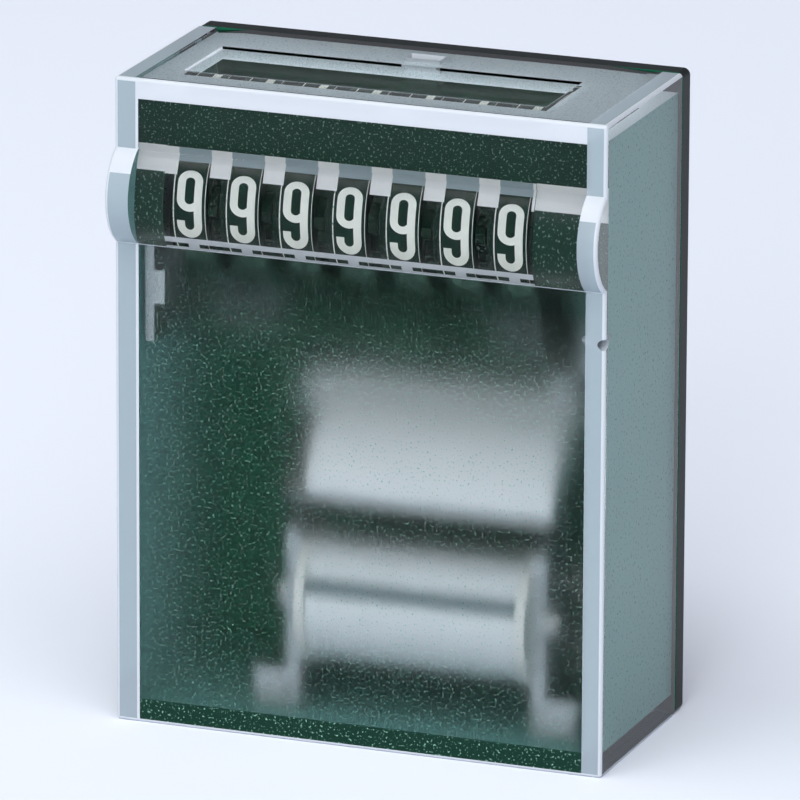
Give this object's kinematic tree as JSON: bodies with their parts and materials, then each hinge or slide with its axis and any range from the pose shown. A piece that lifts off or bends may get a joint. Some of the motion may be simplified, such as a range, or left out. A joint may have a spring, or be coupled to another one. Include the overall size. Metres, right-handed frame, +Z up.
{
  "type": "electromechanical counter",
  "caption": "Pulse counter in a clear box: a lens bar over a row of number wheels, geared carry, and below them a coil whose armature rocker drives a ratchet.",
  "frame": {"origin": "under the middle of the whole object's box, on the plane of the bottom face", "axes": "+Z up, -Y is the front with the lens bar, +X to the right seen from the front"},
  "size_m": [0.045, 0.0304, 0.058],
  "materials": {
    "clear_plastic": "polished outside, fine texture inside",
    "black_plastic": "moulded, lightly textured",
    "wheel_plastic": "moulded",
    "white_plastic": "moulded acetal",
    "cream_plastic": "moulded nylon",
    "brass": "turned, knurled",
    "tinned_brass": "tin plated",
    "white_insulation": "extruded",
    "zinc_steel": "zinc plated sheet",
    "bright_steel": "ground",
    "spring_steel": "hardened",
    "black_steel": "stamped and blackened",
    "black_rubber": "moulded",
    "copper_wire": "enamelled copper",
    "pale_tape": "glossy insulating tape"
  },
  "bodies": {
    "housing": {"clear_cover": "clear_plastic", "base_plate": "black_plastic", "mounting_inserts": "brass", "terminal_upper": "tinned_brass", "terminal_lower": "tinned_brass", "coil_leads": "white_insulation", "movement_frame": "zinc_steel", "frame_screws": "black_steel", "wheel_axle": "bright_steel", "pinion_axle": "bright_steel", "axle_clips": "spring_steel", "rocker_pin": "bright_steel", "return_spring": "spring_steel", "detent_blade": "spring_steel", "detent_rivet": "bright_steel", "rest_buffer": "black_rubber", "coil_bobbin": "cream_plastic", "coil_winding": "copper_wire", "coil_wrap": "pale_tape", "coil_tags": "tinned_brass", "magnet_core": "bright_steel", "pole_leg_left": "zinc_steel", "pole_leg_right": "zinc_steel", "magnet_screws": "zinc_steel"},
    "wheel_1": {"number_wheel_1": "wheel_plastic", "ratchet_wheel": "bright_steel"},
    "wheel_2": {"number_wheel_2": "wheel_plastic"},
    "wheel_3": {"number_wheel_3": "wheel_plastic"},
    "wheel_4": {"number_wheel_4": "wheel_plastic"},
    "wheel_5": {"number_wheel_5": "wheel_plastic"},
    "wheel_6": {"number_wheel_6": "wheel_plastic"},
    "wheel_7": {"number_wheel_7": "wheel_plastic"},
    "pinion_1": {"transfer_pinion_1": "wheel_plastic"},
    "pinion_2": {"transfer_pinion_2": "wheel_plastic"},
    "pinion_3": {"transfer_pinion_3": "wheel_plastic"},
    "pinion_4": {"transfer_pinion_4": "wheel_plastic"},
    "pinion_5": {"transfer_pinion_5": "wheel_plastic"},
    "pinion_6": {"transfer_pinion_6": "wheel_plastic"},
    "rocker_body": {"rocker": "white_plastic", "drive_arm": "black_steel", "armature_plate": "zinc_steel", "armature_rivets": "bright_steel", "drive_pawl": "spring_steel", "pawl_rivet": "bright_steel"}
  },
  "joints": [
    {"name": "wheel_1_turn", "type": "hinge", "parent": "housing", "child": "wheel_1", "pos_m": [0.0136, -0.0029, 0.0475], "axis": [1, 0, 0], "range_deg": [0, 36], "deforming": ["detent_blade"]},
    {"name": "wheel_2_turn", "type": "hinge", "parent": "housing", "child": "wheel_2", "pos_m": [0.0087, -0.0029, 0.0475], "axis": [1, 0, 0], "range_deg": [0, 36]},
    {"name": "wheel_3_turn", "type": "hinge", "parent": "housing", "child": "wheel_3", "pos_m": [0.0038, -0.0029, 0.0475], "axis": [1, 0, 0], "range_deg": [0, 36]},
    {"name": "wheel_4_turn", "type": "hinge", "parent": "housing", "child": "wheel_4", "pos_m": [-0.0011, -0.0029, 0.0475], "axis": [1, 0, 0], "range_deg": [0, 36]},
    {"name": "wheel_5_turn", "type": "hinge", "parent": "housing", "child": "wheel_5", "pos_m": [-0.006, -0.0029, 0.0475], "axis": [1, 0, 0], "range_deg": [0, 36]},
    {"name": "wheel_6_turn", "type": "hinge", "parent": "housing", "child": "wheel_6", "pos_m": [-0.0109, -0.0029, 0.0475], "axis": [1, 0, 0], "range_deg": [0, 36]},
    {"name": "wheel_7_turn", "type": "hinge", "parent": "housing", "child": "wheel_7", "pos_m": [-0.0158, -0.0029, 0.0475], "axis": [1, 0, 0], "range_deg": [0, 36]},
    {"name": "pinion_1_turn", "type": "hinge", "parent": "housing", "child": "pinion_1", "pos_m": [0.01115, 0.00204, 0.0407], "axis": [1, 0, 0], "range_deg": [-90, 0]},
    {"name": "pinion_2_turn", "type": "hinge", "parent": "housing", "child": "pinion_2", "pos_m": [0.00625, 0.00204, 0.0407], "axis": [1, 0, 0], "range_deg": [-90, 0]},
    {"name": "pinion_3_turn", "type": "hinge", "parent": "housing", "child": "pinion_3", "pos_m": [0.00135, 0.00204, 0.0407], "axis": [1, 0, 0], "range_deg": [-90, 0]},
    {"name": "pinion_4_turn", "type": "hinge", "parent": "housing", "child": "pinion_4", "pos_m": [-0.00355, 0.00204, 0.0407], "axis": [1, 0, 0], "range_deg": [-90, 0]},
    {"name": "pinion_5_turn", "type": "hinge", "parent": "housing", "child": "pinion_5", "pos_m": [-0.00845, 0.00204, 0.0407], "axis": [1, 0, 0], "range_deg": [-90, 0]},
    {"name": "pinion_6_turn", "type": "hinge", "parent": "housing", "child": "pinion_6", "pos_m": [-0.01335, 0.00204, 0.0407], "axis": [1, 0, 0], "range_deg": [-90, 0]},
    {"name": "rocker_swing", "type": "hinge", "parent": "housing", "child": "rocker_body", "pos_m": [0.0046, 0.002, 0.029], "axis": [1, 0, 0], "range_deg": [0, 7.8], "stiffness_Nm_per_rad": 0.006, "springref_deg": -14.32, "deforming": ["drive_pawl", "return_spring"]}
  ],
  "couplings": [
    {"joint": "wheel_2_turn", "follows": "wheel_1_turn", "ratio": 1},
    {"joint": "wheel_3_turn", "follows": "wheel_1_turn", "ratio": 1},
    {"joint": "wheel_4_turn", "follows": "wheel_1_turn", "ratio": 1},
    {"joint": "wheel_5_turn", "follows": "wheel_1_turn", "ratio": 1},
    {"joint": "wheel_6_turn", "follows": "wheel_1_turn", "ratio": 1},
    {"joint": "wheel_7_turn", "follows": "wheel_1_turn", "ratio": 1},
    {"joint": "pinion_1_turn", "follows": "wheel_1_turn", "ratio": -2.5},
    {"joint": "pinion_2_turn", "follows": "wheel_1_turn", "ratio": -2.5},
    {"joint": "pinion_3_turn", "follows": "wheel_1_turn", "ratio": -2.5},
    {"joint": "pinion_4_turn", "follows": "wheel_1_turn", "ratio": -2.5},
    {"joint": "pinion_5_turn", "follows": "wheel_1_turn", "ratio": -2.5},
    {"joint": "pinion_6_turn", "follows": "wheel_1_turn", "ratio": -2.5}
  ]
}
